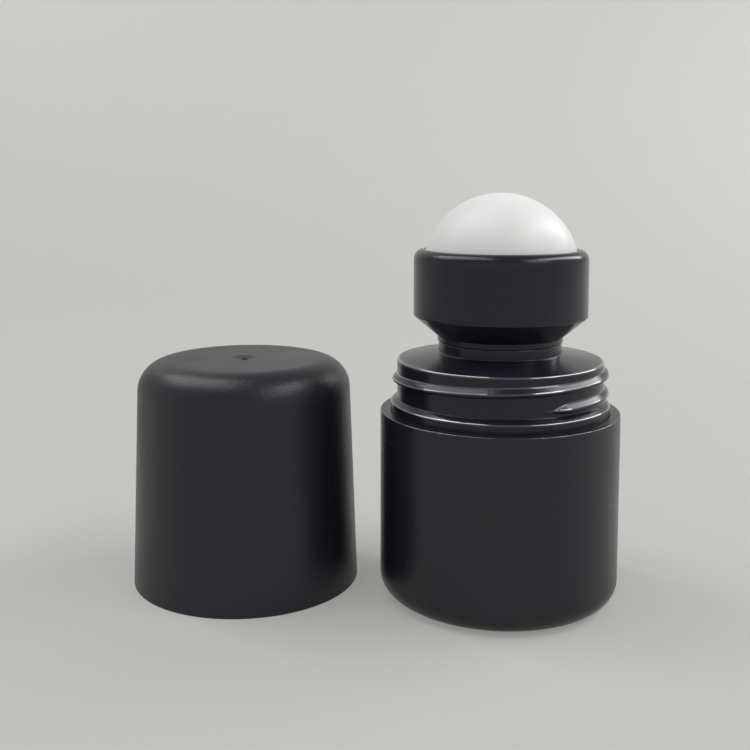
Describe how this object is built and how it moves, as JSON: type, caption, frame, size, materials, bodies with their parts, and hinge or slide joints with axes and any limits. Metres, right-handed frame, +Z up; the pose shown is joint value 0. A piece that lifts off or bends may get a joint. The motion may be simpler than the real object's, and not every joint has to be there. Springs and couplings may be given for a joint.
{
  "type": "roll-on bottle",
  "caption": "Short round roll-on bottle with a matte body, glossy threaded applicator and white ball, its tall screw cap standing beside it.",
  "frame": {"origin": "on the bottle's axis, in the flat base that it stands on", "axes": "+Z up along the bottle's axis, +X to the right and +Y away from the viewer, with the cap standing towards -X"},
  "size_m": [0.0978, 0.0542, 0.0794],
  "materials": {
    "body_matte": "fine matte moulded polypropylene, black",
    "applicator_gloss": "polished moulded polypropylene, black",
    "ball_satin": "satin ground polypropylene, white",
    "cap_matte": "fine matte moulded polypropylene, black"
  },
  "bodies": {
    "bottle": {"body": "body_matte", "applicator": "applicator_gloss"},
    "ball": {"ball": "ball_satin"},
    "cap": {"cap": "cap_matte"}
  },
  "joints": [
    {"name": "ball_roll", "type": "hinge", "parent": "bottle", "child": "ball", "pos_m": [0, 0, 0.06406], "axis": [1, 0, 0], "continuous": true},
    {"name": "cap_lift", "type": "slide", "parent": "bottle", "child": "cap", "axis": [0, 0, 1], "range_m": [0, 0.085]}
  ]
}
